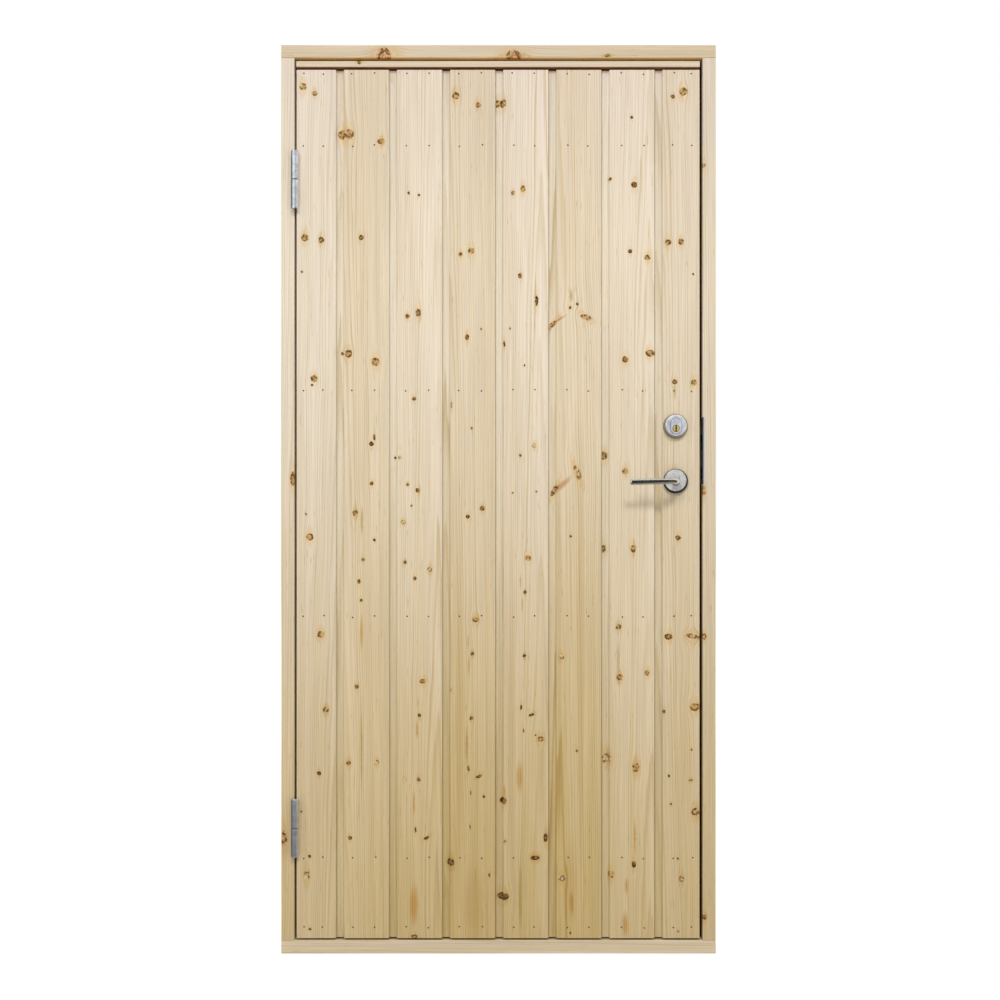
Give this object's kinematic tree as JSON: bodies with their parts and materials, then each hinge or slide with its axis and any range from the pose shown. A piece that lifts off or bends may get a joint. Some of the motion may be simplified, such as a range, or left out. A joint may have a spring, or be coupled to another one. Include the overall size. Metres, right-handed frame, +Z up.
{
  "type": "shed door",
  "caption": "Outward opening shed door of upright tongued and grooved pine boards in a pine frame, with lift-off hinges, lever handle and lock cylinder.",
  "frame": {"origin": "middle of the underside of the sill", "axes": "X to the right seen from outside, Y inwards through the doorway, Z up"},
  "size_m": [0.99, 0.17, 2.07],
  "materials": {
    "frame_pine": "planed",
    "leaf_frame_pine": "planed",
    "board_pine": "planed",
    "galvanised_steel": "galvanised",
    "pin_steel": "bright drawn",
    "strike_steel": "zinc plated",
    "bolt_metal": "machined",
    "satin_chrome": "satin",
    "polished_chrome": "polished",
    "plug_brass": "machined"
  },
  "bodies": {
    "frame": {"head": "frame_pine", "sill": "frame_pine", "hinge_jamb": "frame_pine", "lock_jamb": "frame_pine", "strike_plate": "strike_steel", "upper_hinge_frame_half": "galvanised_steel", "upper_hinge_pin": "pin_steel", "lower_hinge_frame_half": "galvanised_steel", "lower_hinge_pin": "pin_steel"},
    "leaf": {"hinge_stile": "leaf_frame_pine", "lock_stile": "leaf_frame_pine", "top_rail": "leaf_frame_pine", "bottom_rail": "leaf_frame_pine", "middle_rail_1": "leaf_frame_pine", "middle_rail_2": "leaf_frame_pine", "top_strip": "board_pine", "board_1": "board_pine", "board_2": "board_pine", "board_3": "board_pine", "board_4": "board_pine", "board_5": "board_pine", "board_6": "board_pine", "board_7": "board_pine", "board_8": "board_pine", "upper_hinge_leaf_half": "galvanised_steel", "lower_hinge_leaf_half": "galvanised_steel", "cylinder_ring": "satin_chrome", "cylinder_core": "satin_chrome", "key_plug": "plug_brass", "outer_rose": "polished_chrome", "inner_rose": "polished_chrome", "turn_rose": "satin_chrome", "turn_knob": "satin_chrome", "lock_case": "strike_steel", "latch_bolt": "bolt_metal", "dead_bolt": "bolt_metal"},
    "handle": {"outer_lever": "polished_chrome", "inner_lever": "polished_chrome", "spindle": "pin_steel"}
  },
  "joints": [
    {"name": "leaf_swing", "type": "hinge", "parent": "frame", "child": "leaf", "pos_m": [-0.4625, -0.0555, 0.288], "axis": [0, 0, -1], "range_deg": [0, 170]},
    {"name": "lever_turn", "type": "hinge", "parent": "leaf", "child": "handle", "pos_m": [0.403, -0.046, 1.076], "axis": [0, -1, 0], "range_deg": [0, 45], "stiffness_Nm_per_rad": 1.2, "springref_deg": -28.65}
  ]
}
